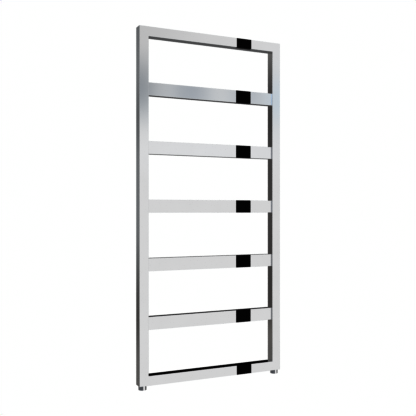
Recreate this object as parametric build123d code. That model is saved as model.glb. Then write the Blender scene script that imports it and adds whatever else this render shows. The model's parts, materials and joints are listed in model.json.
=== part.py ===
"""Wall-hung towel radiator: a square-tube frame, five recessed flat bars and gloss black inserts.

Row frame: +Z is up, -Y is the front, +X is the right-hand side seen from the front.
The origin is midway between the two pipe sockets, level with their mouths.
Every length is in millimetres.
"""
import os

from build123d import *

# Frame of square tube
FRAME_WIDTH = 500.0
FRAME_HEIGHT = 1100.0
TUBE = 30.0
TUBE_WALL = 2.0
EDGE_RADIUS = 0.8

# Flat bars between the uprights, centred in the depth of the frame
BAR_COUNT = 5
BAR_HEIGHT = 40.0
BAR_DEPTH = 20.0
BAR_WALL = 1.5
WATERWAY_MARGIN = 4.0

# Black inserts, one on every rail and bar
INSERT_FROM_LEFT = 335.0
INSERT_WIDTH = 54.0
INSERT_RETURN = 12.0
INSERT_SKIN = 2.0
INSERT_END_GAP = 0.1
TAPE_THICKNESS = 0.5
TAPE_INSET = 3.0

# Pipe sockets for a G1/2 thread, one under each upright
SOCKET_DROP = 13.0
SOCKET_RADIUS = 12.5
SPIGOT_RADIUS = 11.0
SPIGOT_REACH = 6.0
SOCKET_BORE_RADIUS = 9.316
SOCKET_WATERWAY_RADIUS = 8.0
SOCKET_MOUTH_CHAMFER = 1.0
SOCKET_RIM_CHAMFER = 0.3
BOTTOM_PLATE = 3.0

# Bosses for M8 wall bracket screws, in the back of the uprights
BOSS_RADIUS = 7.0
BOSS_LENGTH = 12.0
BOSS_BORE_RADIUS = 3.4
BOSS_BORE_DEPTH = 10.0
BOSS_END_MARGIN = 100.0

# Ports in the top of the uprights for a G3/8 air vent and a blanking plug
PORT_LENGTH = 12.0
PORT_BORE_RADIUS = 7.475
PORT_SEAT_RADIUS = 10.4
PORT_SEAT_DEPTH = 3.6
FLANGE_RADIUS = 10.0
FLANGE_THICKNESS = 2.2
FLANGE_CHAMFER = 0.4
O_RING_RADIUS = 8.5
HEX_ACROSS_FLATS = 8.0
HEX_DEPTH = 5.0
SPANNER_SLOT_WIDTH = 2.0
SPANNER_SLOT_DEPTH = 1.0

# Air vent: swivel nozzle and bleed screw, sunk in the vent plug
NOZZLE_POCKET_RADIUS = 6.0
NOZZLE_POCKET_DEPTH = 2.2
NOZZLE_RADIUS = 5.94
NOZZLE_INNER_RADIUS = 4.6
NOZZLE_LOW = 2.1
NOZZLE_HIGH = 0.3
SPOUT_WIDTH = 1.6
SPOUT_DEPTH = 1.0
KEY_POCKET_RADIUS = 5.0
KEY_POCKET_DEPTH = 6.5
SCREW_BORE_RADIUS = 2.1
SCREW_RADIUS = 2.05
SCREW_SEAT_DEPTH = 10.5
ORIFICE_RADIUS = 0.8
HEAD_SIDE = 5.0
HEAD_TOP = 1.0
HEAD_UNDERSIDE = 6.2
SCREW_SLOT_WIDTH = 1.0
SCREW_SLOT_DEPTH = 1.2
CONE_START = 9.5
CONE_END = 10.7
CONE_TIP_RADIUS = 0.3

# Derived places
BOTTOM = SOCKET_DROP
TOP = BOTTOM + FRAME_HEIGHT
FRONT = -TUBE / 2
BACK = TUBE / 2
BAR_FRONT = -BAR_DEPTH / 2
BAR_BACK = BAR_DEPTH / 2
LEFT = -FRAME_WIDTH / 2
SPAN = FRAME_WIDTH - 2 * TUBE
UPRIGHT_X = (FRAME_WIDTH - TUBE) / 2
TUBE_INSIDE = TUBE - 2 * TUBE_WALL
GAP = (FRAME_HEIGHT - 2 * TUBE - BAR_COUNT * BAR_HEIGHT) / (BAR_COUNT + 1)
INSERT_LEFT = LEFT + INSERT_FROM_LEFT
INSERT_RIGHT = INSERT_LEFT + INSERT_WIDTH
RAIL_LOWS = {"bottom_rail": BOTTOM, "top_rail": TOP - TUBE}
BAR_LOWS = {
    f"bar_{i + 1}": BOTTOM + TUBE + GAP + i * (BAR_HEIGHT + GAP) for i in range(BAR_COUNT)
}
OVERSHOOT = 10.0


def block(x0, x1, y0, y1, z0, z1):
    """A box between two corners."""
    centre = Pos((x0 + x1) / 2, (y0 + y1) / 2, (z0 + z1) / 2)
    return centre * Box(x1 - x0, y1 - y0, z1 - z0)


def rod(x, y, z0, z1, radius):
    """An upright cylinder."""
    return Pos(x, y, (z0 + z1) / 2) * Cylinder(radius, z1 - z0)


def cross_rod(x, y0, y1, z, radius):
    """A cylinder along Y."""
    return Pos(x, (y0 + y1) / 2, z) * Rot(90, 0, 0) * Cylinder(radius, y1 - y0)


def write(name, *solids):
    """One STEP file for a node."""
    shape = solids[0] if len(solids) == 1 else Compound(children=list(solids))
    export_step(shape, f"parts/{name}.step")


# ---------------------------------------------------------------- frame skin

def frame_skin():
    """The solid outline of the four frame tubes, with its long edges eased."""
    outer = block(LEFT, -LEFT, FRONT, BACK, BOTTOM, TOP)
    inner = block(
        LEFT + TUBE, -LEFT - TUBE, FRONT - OVERSHOOT, BACK + OVERSHOOT, BOTTOM + TUBE, TOP - TUBE
    )
    skin = outer - inner
    long_edges = skin.edges().filter_by(Axis.X) + skin.edges().filter_by(Axis.Z)
    outer_corners = skin.edges().filter_by(Axis.Y).filter_by(
        lambda edge: abs(edge.center().X) > FRAME_WIDTH / 2 - 1
    )
    return fillet(long_edges + outer_corners, EDGE_RADIUS)


# ---------------------------------------------------------------- uprights

def waterways(inner_x0, inner_x1):
    """The slots in an upright's inner wall that feed every rail and bar."""
    cuts = []
    for low in RAIL_LOWS.values():
        inset = TUBE_WALL + WATERWAY_MARGIN
        cuts.append(
            block(inner_x0, inner_x1, FRONT + inset, BACK - inset, low + inset, low + TUBE - inset)
        )
    for low in BAR_LOWS.values():
        inset = BAR_WALL + WATERWAY_MARGIN
        cuts.append(
            block(
                inner_x0,
                inner_x1,
                BAR_FRONT + inset,
                BAR_BACK - inset,
                low + inset,
                low + BAR_HEIGHT - inset,
            )
        )
    return cuts


def boss_places(x):
    """The points of an upright's two wall fixings, on its back face."""
    return [(x, BOTTOM + BOSS_END_MARGIN), (x, TOP - BOSS_END_MARGIN)]


def upright(skin, side):
    """A square tube for the whole height; side is -1 for the left one and 1 for the right one."""
    x = side * UPRIGHT_X
    half = TUBE / 2
    tube = skin & block(x - half, x + half, FRONT, BACK, BOTTOM, TOP)
    half_inside = TUBE_INSIDE / 2
    tube -= block(x - half_inside, x + half_inside, -half_inside, half_inside, BOTTOM, TOP)
    wall_x = sorted([side * (UPRIGHT_X - half), side * (UPRIGHT_X - half_inside)])
    for cut in waterways(wall_x[0], wall_x[1]):
        tube -= cut
    for boss_x, boss_z in boss_places(x):
        tube -= cross_rod(boss_x, BACK - TUBE_WALL, BACK, boss_z, BOSS_RADIUS)
    return tube


# ---------------------------------------------------------------- rails and bars

def rail_blank(skin, low):
    """The solid outline of a frame rail between the uprights."""
    return skin & block(-SPAN / 2, SPAN / 2, FRONT, BACK, low, low + TUBE)


def bar_blank(low):
    """The solid outline of a flat bar between the uprights."""
    blank = block(-SPAN / 2, SPAN / 2, BAR_FRONT, BAR_BACK, low, low + BAR_HEIGHT)
    return fillet(blank.edges().filter_by(Axis.X), EDGE_RADIUS)


def member_pieces(blank, front, back, low, height, wall):
    """The pieces of one rail or bar: two tube lengths, the neck, the insert and its tape."""
    high = low + height
    cavity = block(-SPAN / 2, SPAN / 2, front + wall, back - wall, low + wall, high - wall)
    tube = blank - cavity
    left = tube & block(-SPAN / 2, INSERT_LEFT, front, back, low, high)
    right = tube & block(INSERT_RIGHT, SPAN / 2, front, back, low, high)

    # The neck carries the water past the insert and is flush with the tube behind it.
    return_end = front + INSERT_RETURN
    core_front = front + INSERT_SKIN + TAPE_THICKNESS
    core_low = low + INSERT_SKIN
    core_high = high - INSERT_SKIN
    rear = blank & block(INSERT_LEFT, INSERT_RIGHT, return_end, back, low, high)
    core = block(INSERT_LEFT, INSERT_RIGHT, core_front, return_end, core_low, core_high)
    passage = block(
        INSERT_LEFT, INSERT_RIGHT, core_front + wall, back - wall, core_low + wall, core_high - wall
    )
    neck = rear + core - passage

    # The insert is a shallow channel that caps the neck's front.
    end_left = INSERT_LEFT + INSERT_END_GAP
    end_right = INSERT_RIGHT - INSERT_END_GAP
    cap = blank & block(end_left, end_right, front, return_end, low, high)
    insert = cap - block(end_left, end_right, front + INSERT_SKIN, return_end, core_low, core_high)
    tape = block(
        end_left + TAPE_INSET,
        end_right - TAPE_INSET,
        front + INSERT_SKIN,
        core_front,
        core_low + TAPE_INSET,
        core_high - TAPE_INSET,
    )
    return left, right, neck, insert, tape


# ---------------------------------------------------------------- pipe sockets

def pipe_socket(x):
    """A turned socket welded through the bottom plate: a thread bore up to a shoulder, then a waterway."""
    body = rod(x, 0, 0, BOTTOM, SOCKET_RADIUS)
    body = chamfer(body.edges().group_by(Axis.Z)[0], SOCKET_RIM_CHAMFER)
    body += rod(x, 0, BOTTOM, BOTTOM + SPIGOT_REACH, SPIGOT_RADIUS)
    body -= rod(x, 0, 0, BOTTOM, SOCKET_BORE_RADIUS)
    body -= rod(x, 0, BOTTOM, BOTTOM + SPIGOT_REACH, SOCKET_WATERWAY_RADIUS)
    mouth = Pos(x, 0, SOCKET_MOUTH_CHAMFER / 2) * Cone(
        SOCKET_BORE_RADIUS + SOCKET_MOUTH_CHAMFER, SOCKET_BORE_RADIUS, SOCKET_MOUTH_CHAMFER
    )
    return body - mouth


def bottom_plate(x):
    """The plate that closes an upright's lower end around the socket."""
    half = TUBE_INSIDE / 2
    plate = block(x - half, x + half, -half, half, BOTTOM, BOTTOM + BOTTOM_PLATE)
    return plate - rod(x, 0, BOTTOM, BOTTOM + BOTTOM_PLATE, SPIGOT_RADIUS)


# ---------------------------------------------------------------- wall fixings

def bracket_boss(x, z):
    """A blind threaded boss, flush with the back of an upright."""
    boss = cross_rod(x, BACK - BOSS_LENGTH, BACK, z, BOSS_RADIUS)
    return boss - cross_rod(x, BACK - BOSS_BORE_DEPTH, BACK, z, BOSS_BORE_RADIUS)


# ---------------------------------------------------------------- top ports

def top_port(x):
    """The block that closes an upright's upper end, with a seat and a thread bore for a plug."""
    half = TUBE_INSIDE / 2
    port = block(x - half, x + half, -half, half, TOP - PORT_LENGTH, TOP)
    port -= rod(x, 0, TOP - PORT_LENGTH, TOP, PORT_BORE_RADIUS)
    return port - rod(x, 0, TOP - PORT_SEAT_DEPTH, TOP, PORT_SEAT_RADIUS)


def o_ring(x):
    """The seal between a plug's flange and its seat."""
    section_radius = (PORT_SEAT_DEPTH - FLANGE_THICKNESS) / 2
    return Pos(x, 0, TOP - FLANGE_THICKNESS - section_radius) * Torus(O_RING_RADIUS, section_radius)


def plug_body(x):
    """A flanged plug, flush with the top of the frame."""
    flange = rod(x, 0, TOP - FLANGE_THICKNESS, TOP, FLANGE_RADIUS)
    flange = chamfer(flange.edges().group_by(Axis.Z)[-1], FLANGE_CHAMFER)
    return flange + rod(x, 0, TOP - PORT_LENGTH, TOP - FLANGE_THICKNESS, PORT_BORE_RADIUS)


def blanking_plug(x):
    """The plug for the unused port, with a hexagon socket."""
    hexagon = RegularPolygon(HEX_ACROSS_FLATS / 2, 6, major_radius=False)
    recess = Pos(x, 0, TOP - HEX_DEPTH) * extrude(hexagon, HEX_DEPTH)
    return plug_body(x) - recess


def vent_plug(x):
    """The air vent's body: nozzle pocket, key pocket, screw bore and orifice in line."""
    plug = plug_body(x)
    plug -= rod(x, 0, TOP - NOZZLE_POCKET_DEPTH, TOP, NOZZLE_POCKET_RADIUS)
    plug -= rod(x, 0, TOP - KEY_POCKET_DEPTH, TOP, KEY_POCKET_RADIUS)
    plug -= rod(x, 0, TOP - SCREW_SEAT_DEPTH, TOP, SCREW_BORE_RADIUS)
    plug -= rod(x, 0, TOP - PORT_LENGTH, TOP, ORIFICE_RADIUS)
    half_slot = SPANNER_SLOT_WIDTH / 2
    reach = FLANGE_RADIUS + OVERSHOOT
    return plug - block(x - reach, x + reach, -half_slot, half_slot, TOP - SPANNER_SLOT_DEPTH, TOP)


def vent_nozzle(x):
    """A ring that turns in the vent plug to aim its spout."""
    ring = rod(x, 0, TOP - NOZZLE_LOW, TOP - NOZZLE_HIGH, NOZZLE_RADIUS)
    ring -= rod(x, 0, TOP - NOZZLE_LOW, TOP - NOZZLE_HIGH, NOZZLE_INNER_RADIUS)
    half = SPOUT_WIDTH / 2
    reach = NOZZLE_RADIUS + OVERSHOOT
    return ring - block(x - half, x + half, 0, reach, TOP - NOZZLE_HIGH - SPOUT_DEPTH, TOP - NOZZLE_HIGH)


def bleed_screw(x):
    """A square-headed screw whose cone closes the vent's orifice."""
    half = HEAD_SIDE / 2
    head = block(x - half, x + half, -half, half, TOP - HEAD_UNDERSIDE, TOP - HEAD_TOP)
    half_slot = SCREW_SLOT_WIDTH / 2
    slot_floor = TOP - HEAD_TOP - SCREW_SLOT_DEPTH
    head -= block(x - half, x + half, -half_slot, half_slot, slot_floor, TOP - HEAD_TOP)
    shank = rod(x, 0, TOP - CONE_START, TOP - HEAD_UNDERSIDE, SCREW_RADIUS)
    cone = Pos(x, 0, TOP - (CONE_START + CONE_END) / 2) * Cone(
        CONE_TIP_RADIUS, SCREW_RADIUS, CONE_END - CONE_START
    )
    return head + shank + cone


# ---------------------------------------------------------------- the whole radiator

os.makedirs("parts", exist_ok=True)
frame_outline = frame_skin()

write("left_upright", upright(frame_outline, -1))
write("right_upright", upright(frame_outline, 1))

tapes = []
members = {}
for rail, rail_low in RAIL_LOWS.items():
    members[rail] = (rail_blank(frame_outline, rail_low), FRONT, BACK, rail_low, TUBE, TUBE_WALL)
for bar, bar_low in BAR_LOWS.items():
    members[bar] = (bar_blank(bar_low), BAR_FRONT, BAR_BACK, bar_low, BAR_HEIGHT, BAR_WALL)
for member, shape_values in members.items():
    left_length, right_length, neck_piece, insert_piece, tape_piece = member_pieces(*shape_values)
    write(f"{member}_left", left_length)
    write(f"{member}_right", right_length)
    write(f"{member}_neck", neck_piece)
    write(f"{member}_insert", insert_piece)
    tapes.append(tape_piece)
write("insert_tapes", *tapes)

write("left_pipe_socket", pipe_socket(-UPRIGHT_X))
write("right_pipe_socket", pipe_socket(UPRIGHT_X))
write("left_bottom_plate", bottom_plate(-UPRIGHT_X))
write("right_bottom_plate", bottom_plate(UPRIGHT_X))

boss_points = boss_places(-UPRIGHT_X) + boss_places(UPRIGHT_X)
write("bracket_bosses", *[bracket_boss(boss_x, boss_z) for boss_x, boss_z in boss_points])

write("left_top_port", top_port(-UPRIGHT_X))
write("right_top_port", top_port(UPRIGHT_X))
write("blanking_plug", blanking_plug(-UPRIGHT_X))
write("blanking_o_ring", o_ring(-UPRIGHT_X))
write("vent_plug", vent_plug(UPRIGHT_X))
write("vent_o_ring", o_ring(UPRIGHT_X))
write("vent_nozzle", vent_nozzle(UPRIGHT_X))
write("bleed_screw", bleed_screw(UPRIGHT_X))
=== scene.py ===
import json
import math

import bmesh
import bpy
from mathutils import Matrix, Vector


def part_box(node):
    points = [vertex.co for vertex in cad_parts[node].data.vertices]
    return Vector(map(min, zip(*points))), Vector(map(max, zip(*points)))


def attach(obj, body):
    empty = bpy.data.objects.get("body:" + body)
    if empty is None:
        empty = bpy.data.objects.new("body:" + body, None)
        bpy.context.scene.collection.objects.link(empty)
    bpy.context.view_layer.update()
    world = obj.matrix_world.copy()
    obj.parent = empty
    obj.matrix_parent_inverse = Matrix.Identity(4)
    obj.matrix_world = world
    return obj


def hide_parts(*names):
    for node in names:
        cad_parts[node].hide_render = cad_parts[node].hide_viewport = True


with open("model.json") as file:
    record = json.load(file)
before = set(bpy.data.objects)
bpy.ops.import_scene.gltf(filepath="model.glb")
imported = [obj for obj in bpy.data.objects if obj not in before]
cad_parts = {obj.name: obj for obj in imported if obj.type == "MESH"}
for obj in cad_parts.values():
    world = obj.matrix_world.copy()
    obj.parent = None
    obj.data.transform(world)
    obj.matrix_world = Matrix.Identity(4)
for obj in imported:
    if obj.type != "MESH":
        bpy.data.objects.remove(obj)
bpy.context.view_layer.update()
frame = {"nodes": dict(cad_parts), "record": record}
nodes = frame["nodes"]
mounts = {mount["name"]: mount for mount in frame["record"]["mounts"]}
MM = 0.001


# ================================================================ frame tubes and bars
# The uprights and rails are drawn steel tube, 30 mm square; the bars are flat tube, 40 x 20 mm.
# The welds are ground flush, the whole frame is polished and then chrome plated, so the tubes
# are mirrors. What is left of the polishing is a very faint grain that runs along each tube.

CHROME_BRIGHT = "E9EAEC"
CHROME_DEEP = "E5E6E8"
POLISH_GRAIN_WIDTH = 0.6 * MM      # the real grain is 20 to 50 microns wide; drawn coarser so that it shows
POLISH_GRAIN_STRETCH = 160.0       # each polishing line is about 100 mm long
PLATING_CLOUD = 70 * MM            # the size of the patches where the plating is a little deeper in tone
SKIN_WAVE = 90 * MM                # over this length the wall is flat to about a hundredth of a millimetre
SKIN_WAVE_HEIGHT = 0.012 * MM
CHROME_ROUGH_LOW = 0.012
CHROME_ROUGH_HIGH = 0.045
GRAIN_FAINT = 0.35                 # below this part of the grain's noise the plate is at its smoothest
GRAIN_STRONG = 0.75                # and above this part it is at its roughest


def linear(code):
    """An sRGB hex colour as linear red, green, blue and alpha."""
    values = [int(code[i:i + 2], 16) / 255 for i in (0, 2, 4)]
    return [v / 12.92 if v <= 0.04045 else ((v + 0.055) / 1.055) ** 2.4 for v in values] + [1.0]


def add(tree, kind, settings=None, inputs=None):
    """Adds one node with its settings; each input is either a value or the output it is linked to."""
    made = tree.nodes.new(kind)
    for name, value in (settings or {}).items():
        setattr(made, name, value)
    for socket, value in (inputs or {}).items():
        if isinstance(value, bpy.types.NodeSocket):
            tree.links.new(value, made.inputs[socket])
        else:
            made.inputs[socket].default_value = value
    return made


def new_material(name):
    """An empty material and its output node."""
    material = bpy.data.materials.new(name)
    material.use_nodes = True
    material.node_tree.nodes.clear()
    return material, add(material.node_tree, "ShaderNodeOutputMaterial")


def finish_material(material, output, shader):
    """Joins a shader to the material's output."""
    material.node_tree.links.new(shader.outputs[0], output.inputs["Surface"])
    return material


def give(material, *names):
    """Puts one material on the named CAD nodes."""
    for name in names:
        slots = nodes[name].data.materials
        for index in range(len(slots)):
            slots[index] = material


def chrome_plate(name, grain_axis):
    """Mirror chrome plate, with its polishing grain along one axis of the object: 0 is X and 2 is Z."""
    material, output = new_material(name)
    tree = material.node_tree
    place = add(tree, "ShaderNodeTexCoord")
    stretch = [1.0, 1.0, 1.0]
    stretch[grain_axis] = 1.0 / POLISH_GRAIN_STRETCH
    along = add(tree, "ShaderNodeMapping", inputs={"Vector": place.outputs["Object"], "Scale": stretch})
    grain = add(tree, "ShaderNodeTexNoise", inputs={
        "Vector": along.outputs[0], "Scale": 1 / POLISH_GRAIN_WIDTH, "Detail": 3.0, "Roughness": 0.6})
    cloud = add(tree, "ShaderNodeTexNoise", inputs={
        "Vector": place.outputs["Object"], "Scale": 1 / PLATING_CLOUD, "Detail": 4.0, "Roughness": 0.55})
    tone = add(tree, "ShaderNodeMix", {"data_type": "RGBA"}, {
        "Factor": cloud.outputs["Fac"], "A": linear(CHROME_DEEP), "B": linear(CHROME_BRIGHT)})
    rough = add(tree, "ShaderNodeMapRange", inputs={
        "Value": grain.outputs["Fac"], "From Min": GRAIN_FAINT, "From Max": GRAIN_STRONG,
        "To Min": CHROME_ROUGH_LOW, "To Max": CHROME_ROUGH_HIGH})
    wave = add(tree, "ShaderNodeTexNoise", inputs={
        "Vector": place.outputs["Object"], "Scale": 1 / SKIN_WAVE, "Detail": 1.0})
    skin = add(tree, "ShaderNodeBump", inputs={
        "Height": wave.outputs["Fac"], "Strength": 1.0, "Distance": SKIN_WAVE_HEIGHT})
    plate = add(tree, "ShaderNodeBsdfPrincipled", inputs={
        "Base Color": tone.outputs["Result"], "Metallic": 1.0,
        "Roughness": rough.outputs["Result"], "Normal": skin.outputs["Normal"]})
    return finish_material(material, output, plate)


UPRIGHTS = ["left_upright", "right_upright"]
MEMBERS = ["bottom_rail", "bar_1", "bar_2", "bar_3", "bar_4", "bar_5", "top_rail"]
LEVEL_TUBES = [f"{member}_{part}" for member in MEMBERS for part in ("left", "right", "neck")]

chrome_upright = chrome_plate("chrome_plate_polished_upward", 2)
chrome_level = chrome_plate("chrome_plate_polished_across", 0)
give(chrome_upright, *UPRIGHTS)
give(chrome_level, *LEVEL_TUBES)


# ================================================================ black inserts
# Each insert is a shallow channel of black plastic, moulded with a high gloss and bonded over the
# neck of its rail or bar. It is flush with the chrome in front and returns a short way above and below.

GLOSS_BLACK = "010101"
GLOSS_BLACK_WORN = "040405"
GLOSS_SWIRL = 9 * MM               # soft flow marks left by the moulding
GLOSS_ROUGH_LOW = 0.04
GLOSS_ROUGH_HIGH = 0.10
GLOSS_SPECULAR = 0.12              # the black is deep and shows very little of the room
GLOSS_IOR = 1.49                   # typical of a clear, hard moulding plastic

# Gloss black plastic as it leaves a polished mould: a deep, mirror-like black with faint flow marks.
material, output = new_material("black_plastic_gloss_moulded")
tree = material.node_tree
place = add(tree, "ShaderNodeTexCoord")
swirl = add(tree, "ShaderNodeTexNoise", inputs={
    "Vector": place.outputs["Object"], "Scale": 1 / GLOSS_SWIRL, "Detail": 3.0, "Distortion": 1.5})
tone = add(tree, "ShaderNodeMix", {"data_type": "RGBA"}, {
    "Factor": swirl.outputs["Fac"], "A": linear(GLOSS_BLACK), "B": linear(GLOSS_BLACK_WORN)})
rough = add(tree, "ShaderNodeMapRange", inputs={
    "Value": swirl.outputs["Fac"], "To Min": GLOSS_ROUGH_LOW, "To Max": GLOSS_ROUGH_HIGH})
plastic = add(tree, "ShaderNodeBsdfPrincipled", inputs={
    "Base Color": tone.outputs["Result"], "Roughness": rough.outputs["Result"],
    "IOR": GLOSS_IOR, "Specular IOR Level": GLOSS_SPECULAR})
finish_material(material, output, plastic)
give(material, *[f"{member}_insert" for member in MEMBERS])


# ================================================================ bonding tape
# A pad of dark, double-sided foam tape holds each insert to its neck. It is cut from the roll, and
# it is hidden once the insert is on.

# The first colour is painted shade at the bottom of each cell's hollow, and the second is the foam at the
# cells' rims.
FOAM_PAINTED_PIT_SHADE = "1F1F20"
FOAM_LIGHT = "3A3A3B"
FOAM_CELL = 0.4 * MM
FOAM_DEPTH = 0.05 * MM
FOAM_ROUGH = 0.85

# Closed-cell foam as it is cut: matt, with small cells. Each cell is painted darker towards its hollow
# middle, as painted shade.
material, output = new_material("foam_tape_closed_cell")
tree = material.node_tree
place = add(tree, "ShaderNodeTexCoord")
cells = add(tree, "ShaderNodeTexVoronoi", inputs={
    "Vector": place.outputs["Object"], "Scale": 1 / FOAM_CELL})
# Painted shade: the colour follows the same height as the bump, so each cell's pit is painted darker than
# its rim.
tone = add(tree, "ShaderNodeMix", {"data_type": "RGBA"}, {
    "Factor": cells.outputs["Distance"], "A": linear(FOAM_PAINTED_PIT_SHADE), "B": linear(FOAM_LIGHT)})
pores = add(tree, "ShaderNodeBump", inputs={
    "Height": cells.outputs["Distance"], "Strength": 0.6, "Distance": FOAM_DEPTH})
foam = add(tree, "ShaderNodeBsdfPrincipled", inputs={
    "Base Color": tone.outputs["Result"], "Roughness": FOAM_ROUGH, "Normal": pores.outputs["Normal"]})
finish_material(material, output, foam)
give(material, "insert_tapes")


# ================================================================ pipe sockets
# A turned steel socket stands under each upright, welded through the plate that closes the tube.
# It is cut with a G1/2 pipe thread up to a shoulder, and plated with the rest of the frame.

SOCKET_STEPS = 96                  # facets round each socket
SOCKET_PITCH = 25.4 / 14 * MM      # 14 threads to the inch
SOCKET_THREAD_ROOT = 20.955 / 2 * MM
SOCKET_MOUTH_CHAMFER = 1.0 * MM
SOCKET_RIM_CHAMFER = 0.3 * MM
SOCKET_WATERWAY = 8.0 * MM
SOCKET_SPIGOT = 11.0 * MM
SOCKET_ROWS_PER_THREAD = 10
SOCKET_THREAD_RELIEF = 0.4 * MM    # the thread stops this far short of the shoulder
THREAD_FLAT = 0.15                 # part of each flank's run that is flat at the crest and at the root
THREAD_RUNOUT = 0.6                # number of threads over which the groove fades in and out
EDGE_THAT_STAYS_SHARP = 28         # degrees
TURNING_FEED = 0.25 * MM           # the tool's grooves; drawn some six times wider apart so that they show
TURNING_DEPTH = 0.004 * MM
TURNED_ROUGH_LOW = 0.03
TURNED_ROUGH_HIGH = 0.07
WAVE_RADIANS = 20                  # the wave texture's phase over one unit of length


def thread_wall(z0, z1, crest, root, pitch, rows_per_thread, steps):
    """Rings of a threaded wall round the Z axis, from crest radius out to root, fading out at its ends."""
    rows = max(2, round((z1 - z0) / pitch * rows_per_thread))
    rings = []
    for row in range(rows + 1):
        z = z0 + (z1 - z0) * row / rows
        from_end = min(z - z0, z1 - z) / pitch
        fade = min(1.0, from_end / THREAD_RUNOUT)
        ring = []
        for step in range(steps):
            turn = step / steps
            phase = (z / pitch - turn) % 1.0
            # A vee with flattened crest and root.
            flank = (1 - abs(2 * phase - 1) - THREAD_FLAT) / (1 - 2 * THREAD_FLAT)
            vee = min(1.0, max(0.0, flank))
            radius = crest + (root - crest) * vee * fade
            ring.append((radius, turn * math.tau, z))
        rings.append(ring)
    return rings


def plain_ring(radius, z, steps):
    """One round ring of points about the Z axis."""
    return [(radius, step / steps * math.tau, z) for step in range(steps)]


def turned_piece(name, rings, place, looped):
    """Joins rings of (radius, angle, height) into one closed skin. place puts a point into the frame."""
    mesh = bmesh.new()
    rows = []
    for ring in rings:
        rows.append([mesh.verts.new(place(r * math.cos(a), r * math.sin(a), z)) for r, a, z in ring])
    pairs = list(zip(rows, rows[1:]))
    if looped:
        pairs.append((rows[-1], rows[0]))
    for near, far in pairs:
        for i in range(len(near)):
            j = (i + 1) % len(near)
            mesh.faces.new((near[i], near[j], far[j], far[i]))
    if not looped:
        mesh.faces.new(rows[0])
        mesh.faces.new(rows[-1])
    bmesh.ops.recalc_face_normals(mesh, faces=mesh.faces)
    data = bpy.data.meshes.new(name)
    mesh.to_mesh(data)
    mesh.free()
    for face in data.polygons:
        face.use_smooth = True
    data.set_sharp_from_angle(angle=math.radians(EDGE_THAT_STAYS_SHARP))
    made = bpy.data.objects.new(name, data)
    bpy.context.scene.collection.objects.link(made)
    return made


def pipe_socket(side):
    """One socket with its thread, in the place of the CAD socket."""
    low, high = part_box(f"{side}_pipe_socket")
    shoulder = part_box(f"{side}_upright")[0].z
    mount = mounts[f"{side}_pipe_connection"]
    crest = mount["dims"]["r_mm"] * MM
    outer = (high.x - low.x) / 2
    middle = mount["pos_m"][0]
    steps = SOCKET_STEPS
    rings = [plain_ring(outer, low.z + SOCKET_RIM_CHAMFER, steps)]
    rings.append(plain_ring(outer - SOCKET_RIM_CHAMFER, low.z, steps))
    rings.append(plain_ring(crest + SOCKET_MOUTH_CHAMFER, low.z, steps))
    rings += thread_wall(
        low.z + SOCKET_MOUTH_CHAMFER, shoulder - SOCKET_THREAD_RELIEF, crest, SOCKET_THREAD_ROOT,
        SOCKET_PITCH, SOCKET_ROWS_PER_THREAD, steps)
    rings.append(plain_ring(crest, shoulder, steps))
    rings.append(plain_ring(SOCKET_WATERWAY, shoulder, steps))
    rings.append(plain_ring(SOCKET_WATERWAY, high.z, steps))
    rings.append(plain_ring(SOCKET_SPIGOT, high.z, steps))
    rings.append(plain_ring(SOCKET_SPIGOT, shoulder, steps))
    rings.append(plain_ring(outer, shoulder, steps))
    made = turned_piece(f"{side}_socket_threaded", rings, lambda x, y, z: (middle + x, y, z), True)
    made.data.materials.append(chrome_turned)
    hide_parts(f"{side}_pipe_socket")
    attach(made, "radiator")


# Chrome over a turned surface: a mirror, with the lathe's rings just showing through the plating.
material, output = new_material("chrome_plate_over_turned_steel")
tree = material.node_tree
place = add(tree, "ShaderNodeTexCoord")
rings = add(tree, "ShaderNodeTexWave", {"wave_type": "BANDS", "bands_direction": "Z"}, {
    "Vector": place.outputs["Object"], "Scale": 1 / TURNING_FEED / WAVE_RADIANS, "Distortion": 0.6,
    "Detail": 2.0, "Detail Scale": 1.5})
cloud = add(tree, "ShaderNodeTexNoise", inputs={
    "Vector": place.outputs["Object"], "Scale": 1 / PLATING_CLOUD, "Detail": 4.0})
tone = add(tree, "ShaderNodeMix", {"data_type": "RGBA"}, {
    "Factor": cloud.outputs["Fac"], "A": linear(CHROME_DEEP), "B": linear(CHROME_BRIGHT)})
rough = add(tree, "ShaderNodeMapRange", inputs={
    "Value": rings.outputs["Fac"], "To Min": TURNED_ROUGH_LOW, "To Max": TURNED_ROUGH_HIGH})
lathe = add(tree, "ShaderNodeBump", inputs={
    "Height": rings.outputs["Fac"], "Strength": 0.5, "Distance": TURNING_DEPTH})
plate = add(tree, "ShaderNodeBsdfPrincipled", inputs={
    "Base Color": tone.outputs["Result"], "Metallic": 1.0,
    "Roughness": rough.outputs["Result"], "Normal": lathe.outputs["Normal"]})
chrome_turned = finish_material(material, output, plate)

pipe_socket("left")
pipe_socket("right")
give(chrome_level, "left_bottom_plate", "right_bottom_plate")


# ================================================================ wall fixings
# Four turned steel bosses, zinc plated, are let into the back of the uprights and welded flush.
# Each has a blind hole, tapped M8, for a wall bracket's screw.

ZINC_BRIGHT = "B9BEC4"
ZINC_DULL = "9AA0A8"
ZINC_PATCH = 4 * MM
BOSS_PITCH = 1.25 * MM
BOSS_THREAD_ROOT = 4.0 * MM
BOSS_STEPS = 64
BOSS_ROWS_PER_THREAD = 10
BOSS_MOUTH_CHAMFER = 0.7 * MM
BOSS_HOLE_DEPTH = 10.0 * MM
BOSS_RADIUS = 7.0 * MM
BOSS_LENGTH = 12.0 * MM
BOSS_THREAD_RELIEF = 1.0 * MM      # the tap stops this far short of the hole's bottom
ZINC_GRIT = 0.3 * MM
ZINC_GRIT_DEPTH = 0.02 * MM
ZINC_ROUGH_LOW = 0.22
ZINC_ROUGH_HIGH = 0.42
ZINC_PATCH_FAINT = 0.3             # below this part of the patches' noise the plate is at its smoothest
ZINC_PATCH_STRONG = 0.7            # and above this part it is at its roughest

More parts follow.
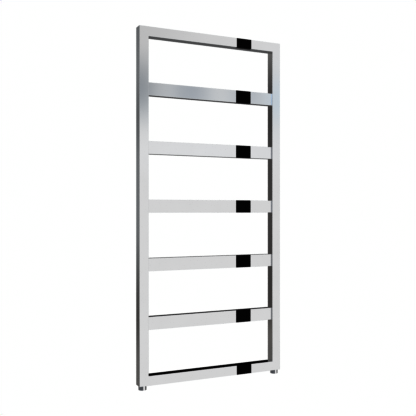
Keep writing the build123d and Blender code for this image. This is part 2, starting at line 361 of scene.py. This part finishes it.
# Bright zinc plate over turned steel: a soft grey sheen in small patches.
material, output = new_material("zinc_plate_on_turned_steel")
tree = material.node_tree
place = add(tree, "ShaderNodeTexCoord")
patches = add(tree, "ShaderNodeTexNoise", inputs={
    "Vector": place.outputs["Object"], "Scale": 1 / ZINC_PATCH, "Detail": 6.0, "Roughness": 0.6})
tone = add(tree, "ShaderNodeMix", {"data_type": "RGBA"}, {
    "Factor": patches.outputs["Fac"], "A": linear(ZINC_DULL), "B": linear(ZINC_BRIGHT)})
rough = add(tree, "ShaderNodeMapRange", inputs={
    "Value": patches.outputs["Fac"], "From Min": ZINC_PATCH_FAINT, "From Max": ZINC_PATCH_STRONG,
    "To Min": ZINC_ROUGH_LOW, "To Max": ZINC_ROUGH_HIGH})
grit = add(tree, "ShaderNodeTexNoise", inputs={
    "Vector": place.outputs["Object"], "Scale": 1 / ZINC_GRIT, "Detail": 2.0})
rub = add(tree, "ShaderNodeBump", inputs={
    "Height": grit.outputs["Fac"], "Strength": 0.3, "Distance": ZINC_GRIT_DEPTH})
zinc = add(tree, "ShaderNodeBsdfPrincipled", inputs={
    "Base Color": tone.outputs["Result"], "Metallic": 1.0,
    "Roughness": rough.outputs["Result"], "Normal": rub.outputs["Normal"]})
zinc_plate = finish_material(material, output, zinc)

wall = mounts["wall_fixings"]
bore = wall["dims"]["hole_r_mm"] * MM
back = wall["pos_m"][1]
for side in (-1, 1):
    for end in (-1, 1):
        x = wall["pos_m"][0] + side * wall["dims"]["spacing_x_mm"] / 2 * MM
        z = wall["pos_m"][2] + end * wall["dims"]["spacing_y_mm"] / 2 * MM
        # Heights run from the back face inward.
        rings = [plain_ring(BOSS_RADIUS, BOSS_LENGTH, BOSS_STEPS)]
        rings.append(plain_ring(BOSS_RADIUS, 0.0, BOSS_STEPS))
        rings.append(plain_ring(bore + BOSS_MOUTH_CHAMFER, 0.0, BOSS_STEPS))
        rings += thread_wall(
            BOSS_MOUTH_CHAMFER, BOSS_HOLE_DEPTH - BOSS_THREAD_RELIEF, bore, BOSS_THREAD_ROOT,
            BOSS_PITCH, BOSS_ROWS_PER_THREAD, BOSS_STEPS)
        rings.append(plain_ring(bore, BOSS_HOLE_DEPTH, BOSS_STEPS))
        boss_name = f"boss_{'left' if side < 0 else 'right'}_{'low' if end < 0 else 'high'}"
        boss = turned_piece(
            boss_name, rings, lambda u, v, depth, x=x, z=z: (x + u, back - depth, z + v), False)
        boss.data.materials.append(zinc_plate)
        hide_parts("bracket_bosses")
        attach(boss, "radiator")


# ================================================================ top ports and plugs
# A steel block closes the top of each upright and is tapped G3/8. The left one has a blanking plug
# and the right one the vent's plug, both turned from brass and chromed, and sunk flush with the top.

give(chrome_level, "left_top_port", "right_top_port")
give(chrome_turned, "blanking_plug", "vent_plug")

# Under each plug's flange lies an O-ring of black EPDM rubber, moulded, smooth and slightly matt.
RUBBER_BLACK = "161617"
RUBBER_BLOOM = "232325"
RUBBER_PATCH = 3 * MM
RUBBER_GRAIN = 0.25 * MM
RUBBER_GRAIN_DEPTH = 0.02 * MM
RUBBER_ROUGH = 0.55
RUBBER_IOR = 1.5

material, output = new_material("epdm_rubber_moulded")
tree = material.node_tree
place = add(tree, "ShaderNodeTexCoord")
bloom = add(tree, "ShaderNodeTexNoise", inputs={
    "Vector": place.outputs["Object"], "Scale": 1 / RUBBER_PATCH, "Detail": 5.0})
tone = add(tree, "ShaderNodeMix", {"data_type": "RGBA"}, {
    "Factor": bloom.outputs["Fac"], "A": linear(RUBBER_BLACK), "B": linear(RUBBER_BLOOM)})
grain = add(tree, "ShaderNodeTexNoise", inputs={
    "Vector": place.outputs["Object"], "Scale": 1 / RUBBER_GRAIN, "Detail": 2.0})
rub = add(tree, "ShaderNodeBump", inputs={
    "Height": grain.outputs["Fac"], "Strength": 0.4, "Distance": RUBBER_GRAIN_DEPTH})
rubber = add(tree, "ShaderNodeBsdfPrincipled", inputs={
    "Base Color": tone.outputs["Result"], "Roughness": RUBBER_ROUGH, "IOR": RUBBER_IOR,
    "Normal": rub.outputs["Normal"]})
finish_material(material, output, rubber)
give(material, "blanking_o_ring", "vent_o_ring")


# ================================================================ air vent nozzle
# A ring of white acetal turns in the vent's plug, so that its spout can be aimed. It is moulded,
# slightly waxy, and has a fine spark-eroded texture.

ACETAL_WHITE = "F0EFEA"
ACETAL_SHADE = "DEDDD6"
ACETAL_FLOW = 4 * MM
ACETAL_GRAIN = 0.2 * MM
ACETAL_GRAIN_DEPTH = 0.02 * MM
ACETAL_ROUGH = 0.42
ACETAL_IOR = 1.48

# Natural acetal from a spark-eroded mould: white, waxy and half matt.
material, output = new_material("acetal_white_moulded")
tree = material.node_tree
place = add(tree, "ShaderNodeTexCoord")
flow = add(tree, "ShaderNodeTexNoise", inputs={
    "Vector": place.outputs["Object"], "Scale": 1 / ACETAL_FLOW, "Detail": 3.0})
tone = add(tree, "ShaderNodeMix", {"data_type": "RGBA"}, {
    "Factor": flow.outputs["Fac"], "A": linear(ACETAL_SHADE), "B": linear(ACETAL_WHITE)})
grain = add(tree, "ShaderNodeTexNoise", inputs={
    "Vector": place.outputs["Object"], "Scale": 1 / ACETAL_GRAIN, "Detail": 2.0})
sparks = add(tree, "ShaderNodeBump", inputs={
    "Height": grain.outputs["Fac"], "Strength": 0.3, "Distance": ACETAL_GRAIN_DEPTH})
acetal = add(tree, "ShaderNodeBsdfPrincipled", inputs={
    "Base Color": tone.outputs["Result"], "Roughness": ACETAL_ROUGH, "IOR": ACETAL_IOR,
    "Normal": sparks.outputs["Normal"]})
finish_material(material, output, acetal)
give(material, "vent_nozzle")


# ================================================================ bleed screw
# The bleed screw is turned and milled from brass and nickel plated. Its plating is warmer and less
# bright than the chrome, and a little worn in small patches by the key that turns it.

NICKEL = "CFC6B2"
NICKEL_WORN = "B9A67C"
NICKEL_PATCH = 1.5 * MM
MILLING_FEED = 0.15 * MM           # the cutter's marks; drawn some six times wider apart so that they show
MILLING_DEPTH = 0.01 * MM
NICKEL_ROUGH_LOW = 0.14
NICKEL_ROUGH_HIGH = 0.32
WEAR_STARTS = 0.5                  # below this part of the wear's noise the plating is as new
WEAR_FULL = 0.75                   # and above this part it is at its most worn

# Nickel plate over milled brass: a warm satin metal with straight cutter marks.
material, output = new_material("nickel_plate_on_milled_brass")
tree = material.node_tree
place = add(tree, "ShaderNodeTexCoord")
wear = add(tree, "ShaderNodeTexNoise", inputs={
    "Vector": place.outputs["Object"], "Scale": 1 / NICKEL_PATCH, "Detail": 5.0, "Roughness": 0.65})
worn = add(tree, "ShaderNodeMapRange", inputs={
    "Value": wear.outputs["Fac"], "From Min": WEAR_STARTS, "From Max": WEAR_FULL})
tone = add(tree, "ShaderNodeMix", {"data_type": "RGBA"}, {
    "Factor": worn.outputs["Result"], "A": linear(NICKEL), "B": linear(NICKEL_WORN)})
feed = add(tree, "ShaderNodeTexWave", {"wave_type": "BANDS", "bands_direction": "X"}, {
    "Vector": place.outputs["Object"], "Scale": 1 / MILLING_FEED / WAVE_RADIANS,
    "Distortion": 1.0, "Detail": 2.0})
cut = add(tree, "ShaderNodeBump", inputs={
    "Height": feed.outputs["Fac"], "Strength": 0.4, "Distance": MILLING_DEPTH})
rough = add(tree, "ShaderNodeMapRange", inputs={
    "Value": wear.outputs["Fac"], "To Min": NICKEL_ROUGH_LOW, "To Max": NICKEL_ROUGH_HIGH})
nickel = add(tree, "ShaderNodeBsdfPrincipled", inputs={
    "Base Color": tone.outputs["Result"], "Metallic": 1.0,
    "Roughness": rough.outputs["Result"], "Normal": cut.outputs["Normal"]})
finish_material(material, output, nickel)
give(material, "bleed_screw")


# ================================================================ studio light
# The radiator hangs in a dim room with soft boxes round it, and the chrome shows nothing but that room.
# Each part of the room is placed by the direction in which the chrome sees it: azimuth in degrees from
# the front (-Y) towards the right (+X), and elevation above the horizon. All the light is theirs.

world = bpy.data.worlds.new("soft_studio")
bpy.context.scene.world = world
world.use_nodes = True
room = world.node_tree
room.nodes.clear()
look = add(room, "ShaderNodeTexCoord")
parts = add(room, "ShaderNodeSeparateXYZ", inputs={0: look.outputs["Generated"]})
forward = add(room, "ShaderNodeMath", {"operation": "MULTIPLY"}, {0: parts.outputs["Y"], 1: -1.0})
bearing = add(room, "ShaderNodeMath", {"operation": "ARCTAN2"}, {
    0: parts.outputs["X"], 1: forward.outputs[0]})
azimuth = add(room, "ShaderNodeMath", {"operation": "DEGREES"}, {0: bearing.outputs[0]}).outputs[0]
climb = add(room, "ShaderNodeMath", {"operation": "ARCSINE"}, {0: parts.outputs["Z"]})
elevation = add(room, "ShaderNodeMath", {"operation": "DEGREES"}, {0: climb.outputs[0]}).outputs[0]


def patch(centre, half_width, side_soft, bottom, top):
    """How far a direction lies inside a soft-edged panel, from 0 to 1.

    bottom and top are each an elevation and the softness of the edge there.
    """
    off = add(room, "ShaderNodeMath", {"operation": "SUBTRACT"}, {0: azimuth, 1: centre})
    turned = add(room, "ShaderNodeMath", {"operation": "WRAP"}, {0: off.outputs[0], 1: 180.0, 2: -180.0})
    away = add(room, "ShaderNodeMath", {"operation": "ABSOLUTE"}, {0: turned.outputs[0]})
    across = add(room, "ShaderNodeMapRange", {"interpolation_type": "SMOOTHSTEP"}, {
        "Value": away.outputs[0], "From Min": half_width + side_soft, "From Max": half_width - side_soft})
    low, low_soft = bottom
    above = add(room, "ShaderNodeMapRange", {"interpolation_type": "SMOOTHSTEP"}, {
        "Value": elevation, "From Min": low - low_soft, "From Max": low + low_soft})
    high, high_soft = top
    below = add(room, "ShaderNodeMapRange", {"interpolation_type": "SMOOTHSTEP"}, {
        "Value": elevation, "From Min": high + high_soft, "From Max": high - high_soft})
    upright_part = add(room, "ShaderNodeMath", {"operation": "MULTIPLY"}, {
        0: above.outputs[0], 1: below.outputs[0]})
    return add(room, "ShaderNodeMath", {"operation": "MULTIPLY"}, {
        0: across.outputs[0], 1: upright_part.outputs[0]}).outputs[0]


def cloud(centre, reach, level, rise):
    """A soft round patch: 1 in the middle, 0 from reach degrees aside and rise degrees above and below."""
    half_reach = reach / 2
    half_rise = rise / 2
    bottom = (level - half_rise, half_rise)
    top = (level + half_rise, half_rise)
    return patch(centre, half_reach, half_reach, bottom, top)


def lit(light, colour, area):
    """Adds a panel's light to the light so far."""
    return add(room, "ShaderNodeVectorMath", {"operation": "MULTIPLY_ADD"}, {
        0: area, 1: colour, 2: light}).outputs[0]


def shaded(light, loss, area):
    """Dims the light so far where something dark stands in front of it."""
    left = add(room, "ShaderNodeVectorMath", {"operation": "MULTIPLY_ADD"}, {
        0: area, 1: [-v for v in loss], 2: (1.0, 1.0, 1.0)})
    return add(room, "ShaderNodeVectorMath", {"operation": "MULTIPLY"}, {
        0: light, 1: left.outputs[0]}).outputs[0]


# Elevations that several panels share, each with its softness.
NADIR = (-120, 1)                  # past straight down, so that nothing below is left out
FLOOR_LINE = (-27, 9)              # the studio's floor ends here and the walls begin
BOX_FEET = (-11, 2.5)              # the soft boxes at the sides end here, and what is below them is dimmer
SCREEN_TOP = (-12.5, 2.5)
CEILING_LINE = (38, 9)             # the walls end here and the overhead soft box begins
WALL_TOP = (28, 6)
ZENITH = (120, 1)                  # past straight up
ALL_ROUND = (0, 200, 1)            # centre, half width and softness that take in every azimuth

# The floor of the studio, and the large overhead soft box. The other soft boxes lie between them.
light = lit((0.0, 0.0, 0.0), (0.92, 0.92, 0.92), patch(*ALL_ROUND, NADIR, FLOOR_LINE))
light = lit(light, (1.04, 1.04, 1.04), patch(*ALL_ROUND, CEILING_LINE, ZENITH))

# The main soft box, in front and to the right, a little brighter across its middle and dim at its foot.
light = lit(light, (1.016, 1.006, 0.990), patch(33, 46, 5, FLOOR_LINE, CEILING_LINE))
light = lit(light, (0.031, 0.036, 0.044), cloud(25.5, 12, 5.2, 3.2))
light = shaded(light, (0.95, 0.95, 0.95), patch(-8, 11, 4, FLOOR_LINE, BOX_FEET))
light = shaded(light, (0.72, 0.72, 0.73), patch(82, 19, 5, FLOOR_LINE, BOX_FEET))
# Dark shapes above the horizon show in it as dim, slightly blue clouds.
light = shaded(light, (0.22, 0.22, 0.22), patch(0, 20, 12, (9.75, 3.25), (30, 8)))
light = shaded(light, (0.288, 0.265, 0.240), cloud(19.0, 3.6, 10.9, 4.2))
light = shaded(light, (0.210, 0.185, 0.154), cloud(23.9, 3.4, 10.7, 4.2))
light = shaded(light, (0.150, 0.128, 0.105), cloud(29.0, 3.2, 10.4, 4.0))
light = shaded(light, (0.058, 0.018, -0.008), cloud(32.0, 2.0, 9.9, 3.0))
light = shaded(light, (0.026, 0.010, -0.006), cloud(33.0, 4.0, 9.9, 7.0))
light = shaded(light, (0.018, 0.007, 0.000), patch(25, 8, 4, (7.5, 2.0), (12.0, 2.5)))

# A weaker soft box, in front and to the left, with a blue window in it.
light = lit(light, (0.62, 0.62, 0.62), patch(-44, 22, 9, SCREEN_TOP, CEILING_LINE))
light = lit(light, (0.08, 0.09, 0.11), cloud(-31, 14, 2.5, 7))
light = lit(light, (0.38, 0.52, 0.64), cloud(-31, 14, 11, 5.0))
# Below it, a dim screen runs round to the left.
light = lit(light, (0.30, 0.31, 0.325), patch(-58, 58, 7, FLOOR_LINE, SCREEN_TOP))

# Tall soft boxes at both sides and behind, which light the radiator's ends and back.
light = lit(light, (0.90, 0.90, 0.90), patch(115, 27, 4, BOX_FEET, CEILING_LINE))
light = lit(light, (0.30, 0.30, 0.29), patch(101, 22, 6, FLOOR_LINE, BOX_FEET))
light = lit(light, (0.75, 0.75, 0.75), patch(132, 9, 4, FLOOR_LINE, BOX_FEET))
light = lit(light, (0.90, 0.90, 0.90), patch(-108, 30, 4, BOX_FEET, CEILING_LINE))
light = lit(light, (0.60, 0.60, 0.60), patch(-130, 9, 4, FLOOR_LINE, BOX_FEET))
light = lit(light, (0.88, 0.88, 0.88), patch(180, 6, 4, (-20, 4), CEILING_LINE))

# What stands behind the radiator on the left: a dim wall with a darker line across it.
light = lit(light, (0.245, 0.239, 0.230), patch(-158, 18, 5, FLOOR_LINE, WALL_TOP))
light = lit(light, (0.206, 0.222, 0.234), patch(-172, 19, 9, (-5.0, 4.5), WALL_TOP))
light = shaded(light, (0.22, 0.22, 0.22), cloud(-155, 24, 8.4, 4.2))
light = shaded(light, (0.10, 0.10, 0.10), cloud(-160, 12, 17, 5))
light = lit(light, (0.112, 0.110, 0.106), patch(-158, 18, 5, FLOOR_LINE, (-11.5, 1.9)))
light = lit(light, (0.125, 0.118, 0.108), cloud(-147, 8, -10.6, 2.4))
light = lit(light, (0.255, 0.250, 0.240), cloud(-146, 9, 16.5, 6.5))
light = shaded(light, (0.16, 0.18, 0.19), patch(-146, 5, 3, (-9, 4), (12, 3)))

# Behind on the right: almost dark above the horizon, a dim floor below it.
light = lit(light, (0.21, 0.21, 0.21), patch(155, 16, 3, FLOOR_LINE, (8.5, 4.5)))
light = lit(light, (0.09, 0.09, 0.09), patch(155, 16, 3, FLOOR_LINE, (-12.5, 2)))

ambient = add(room, "ShaderNodeBackground", inputs={"Color": light, "Strength": 1.0})
# The backdrop that the camera sees is plain white paper, lit evenly.
backdrop = add(room, "ShaderNodeBackground", inputs={"Color": linear("FFFFFF"), "Strength": 1.0})
ray = add(room, "ShaderNodeLightPath")
seen = add(room, "ShaderNodeMixShader", inputs={
    0: ray.outputs["Is Camera Ray"], 1: ambient.outputs[0], 2: backdrop.outputs[0]})
add(room, "ShaderNodeOutputWorld", inputs={"Surface": seen.outputs[0]})


# ================================================================ floor
# A plain floor of white paper, well below the wall-hung radiator, as bright as the backdrop behind it.
# Only the camera sees it, and only from above. It neither lights nor shades the radiator.

FLOOR_DROP = 0.60
FLOOR_RADIUS = 30.0
FLOOR_CORNERS = 64

disc = bmesh.new()
bmesh.ops.create_circle(disc, cap_ends=True, segments=FLOOR_CORNERS, radius=FLOOR_RADIUS)
floor_mesh = bpy.data.meshes.new("floor")
disc.to_mesh(floor_mesh)
disc.free()
floor = bpy.data.objects.new("floor", floor_mesh)
floor.location.z = -FLOOR_DROP
bpy.context.scene.collection.objects.link(floor)
floor.visible_glossy = False
floor.visible_diffuse = False
floor.visible_transmission = False
floor.visible_shadow = False

material, output = new_material("white_paper_floor")
tree = material.node_tree
side = add(tree, "ShaderNodeNewGeometry")
paper = add(tree, "ShaderNodeEmission", inputs={"Color": linear("FFFFFF"), "Strength": 1.0})
clear = add(tree, "ShaderNodeBsdfTransparent")
one_sided = add(tree, "ShaderNodeMixShader", inputs={
    0: side.outputs["Backfacing"], 1: paper.outputs[0], 2: clear.outputs[0]})
finish_material(material, output, one_sided)
floor_mesh.materials.append(material)


# ================================================================ camera
# A normal lens on a full-frame sensor, level, at about half the radiator's height. It stands in front
# of the radiator and to the left of it, and looks towards the right.

CAMERA_PLACE = (-0.8875, -1.8369, 0.5476)
CAMERA_TURN = -25.48               # degrees from straight at the wall, towards the right
CAMERA_LENS = 54.68                # millimetres
CAMERA_SENSOR = 36.0               # millimetres
CAMERA_RISE = 0.00755              # the lens is shifted up by this part of the view's width

lens = bpy.data.cameras.new("camera")
lens.lens = CAMERA_LENS
lens.sensor_width = CAMERA_SENSOR
lens.shift_y = CAMERA_RISE
camera = bpy.data.objects.new("camera", lens)
camera.location = CAMERA_PLACE
camera.rotation_euler = (math.radians(90), 0.0, math.radians(CAMERA_TURN))
bpy.context.scene.collection.objects.link(camera)
bpy.context.scene.camera = camera
# Raw puts the light's values straight on the display, with no gamma and no film curve. The strengths of
# the lights and the colours of the pieces are set for that.
bpy.context.scene.view_settings.view_transform = "Raw"
